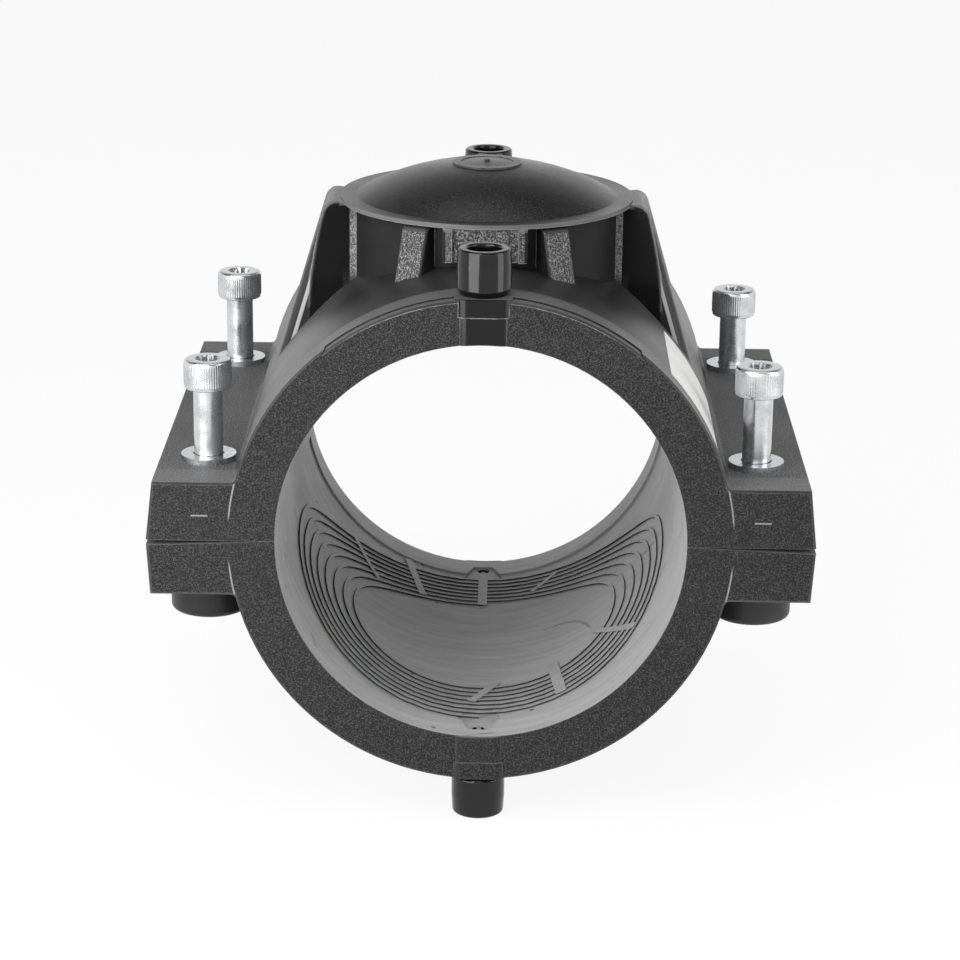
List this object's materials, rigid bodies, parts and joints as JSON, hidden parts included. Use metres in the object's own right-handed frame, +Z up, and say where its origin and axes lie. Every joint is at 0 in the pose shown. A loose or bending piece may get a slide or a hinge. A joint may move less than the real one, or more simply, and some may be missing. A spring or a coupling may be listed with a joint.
{
  "type": "electrofusion repair saddle",
  "caption": "Split plastic saddle that clamps round a pipe with raised socket-head screws and is fused on by heating spirals in its bore; ribbed hub with a domed top.",
  "frame": {"origin": "on the bore axis at mid-length, in the parting plane of the two halves", "axes": "+Y along the pipe, +Z up through the hub, +X across to the right-hand flange"},
  "size_m": [0.1788, 0.15, 0.1689],
  "materials": {
    "shell": "fine grained black polyethylene, smoother and greyer in the bore",
    "heating_wire": "dull dark resistance wire, just below the surface of the bore",
    "shroud": "smooth glossy black",
    "contact": "plain turned brass",
    "insert": "satin brass with an internal thread",
    "fastener": "bright zinc plated steel with knurled heads"
  },
  "bodies": {
    "lower_half": {"lower_shell": "shell", "lower_heating_coil": "heating_wire", "lower_front_terminal_shroud": "shroud", "lower_front_contact_pin": "contact", "lower_rear_terminal_shroud": "shroud", "lower_rear_contact_pin": "contact", "front_left_threaded_insert": "insert", "front_right_threaded_insert": "insert", "rear_left_threaded_insert": "insert", "rear_right_threaded_insert": "insert"},
    "upper_half": {"upper_shell": "shell", "upper_heating_coil": "heating_wire", "upper_front_terminal_shroud": "shroud", "upper_front_contact_pin": "contact", "upper_rear_terminal_shroud": "shroud", "upper_rear_contact_pin": "contact", "front_left_washer": "fastener", "front_right_washer": "fastener", "rear_left_washer": "fastener", "rear_right_washer": "fastener"},
    "front_left_screw": {"front_left_cap_screw": "fastener"},
    "front_right_screw": {"front_right_cap_screw": "fastener"},
    "rear_left_screw": {"rear_left_cap_screw": "fastener"},
    "rear_right_screw": {"rear_right_cap_screw": "fastener"}
  },
  "joints": [
    {"name": "upper_half_lift", "type": "slide", "parent": "lower_half", "child": "upper_half", "axis": [0, 0, 1], "range_m": [0, 0.115]},
    {"name": "front_left_screw_travel", "type": "slide", "parent": "upper_half", "child": "front_left_screw", "axis": [0, 0, 1], "range_m": [-0.0185, 0]},
    {"name": "front_right_screw_travel", "type": "slide", "parent": "upper_half", "child": "front_right_screw", "axis": [0, 0, 1], "range_m": [-0.0185, 0]},
    {"name": "rear_left_screw_travel", "type": "slide", "parent": "upper_half", "child": "rear_left_screw", "axis": [0, 0, 1], "range_m": [-0.0185, 0]},
    {"name": "rear_right_screw_travel", "type": "slide", "parent": "upper_half", "child": "rear_right_screw", "axis": [0, 0, 1], "range_m": [-0.015, 0]}
  ]
}
